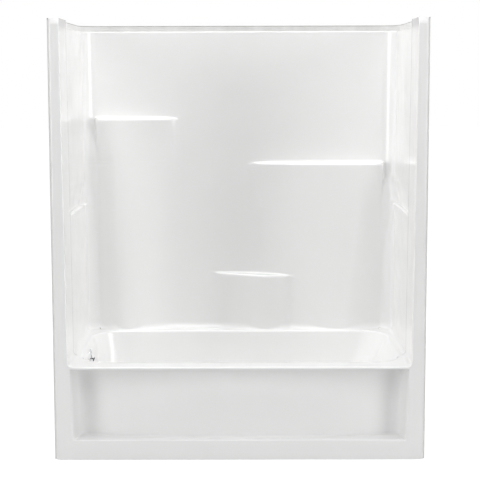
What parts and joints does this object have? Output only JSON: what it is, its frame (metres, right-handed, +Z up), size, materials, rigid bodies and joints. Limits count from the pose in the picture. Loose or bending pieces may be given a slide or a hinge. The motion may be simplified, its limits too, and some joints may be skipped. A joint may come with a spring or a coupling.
{
  "type": "alcove bathtub and shower module",
  "caption": "One-piece moulded alcove bathtub with shower walls, moulded shelves, recessed apron and a trip-lever waste and overflow at the left end.",
  "frame": {"origin": "middle of the unit's base, on the floor", "axes": "+X to the right for someone facing the unit (away from the drain end), +Y from the front frame into the alcove, +Z up"},
  "size_m": [1.524, 0.813, 1.803],
  "materials": {
    "white_gelcoat": "glossy white gelcoat on glass-fibre laminate",
    "pine": "planed softwood",
    "plywood": "raw plywood",
    "chrome_trim": "polished",
    "black_lever": "dark gloss",
    "zinc_steel": "zinc plated",
    "rough_brass": "rough drawn brass",
    "black_rubber": "matt"
  },
  "bodies": {
    "shell": {"tub_shower_shell": "white_gelcoat", "runner_drain_end": "pine", "runner_middle": "pine", "runner_backrest_end": "pine", "apron_brace_left": "pine", "apron_brace_middle": "pine", "apron_brace_right": "pine", "rear_leg_left": "pine", "rear_leg_middle": "pine", "rear_leg_right": "pine", "jamb_stiffener_left": "pine", "jamb_stiffener_right": "pine", "floor_board": "plywood", "side_backer_left_lower": "plywood", "side_backer_left_upper": "plywood", "side_backer_right_lower": "plywood", "side_backer_right_upper": "plywood", "back_backer_top": "plywood", "back_backer_middle": "plywood", "back_backer_right": "plywood", "overflow_plate": "chrome_trim", "plate_screws": "chrome_trim", "drain_flange": "chrome_trim", "strainer": "chrome_trim", "strainer_screw": "chrome_trim", "lever_pin": "zinc_steel", "lever_spring": "zinc_steel", "overflow_elbow": "rough_brass", "overflow_tube": "rough_brass", "elbow_slip_nut": "rough_brass", "tee_slip_nut": "rough_brass", "arm_slip_nut": "rough_brass", "waste_tee": "rough_brass", "waste_arm": "rough_brass", "waste_shoe": "rough_brass", "overflow_gasket": "black_rubber", "elbow_slip_washer": "black_rubber", "tee_slip_washer": "black_rubber", "arm_slip_washer": "black_rubber", "shoe_gasket": "black_rubber"},
    "lever": {"trip_lever": "black_lever"},
    "plunger": {"plunger": "rough_brass", "lift_rod": "zinc_steel", "rod_nuts": "rough_brass"}
  },
  "joints": [
    {"name": "plunger_drop", "type": "slide", "parent": "shell", "child": "plunger", "axis": [0, 0, -1], "range_m": [0, 0.02736]},
    {"name": "lever_swing", "type": "hinge", "parent": "shell", "child": "lever", "pos_m": [-0.668, -0.0065, 0.336], "axis": [0, -1, 0], "range_deg": [0, 40]}
  ],
  "couplings": [
    {"joint": "lever_swing", "follows": "plunger_drop", "rad_per_m": 25.515}
  ]
}
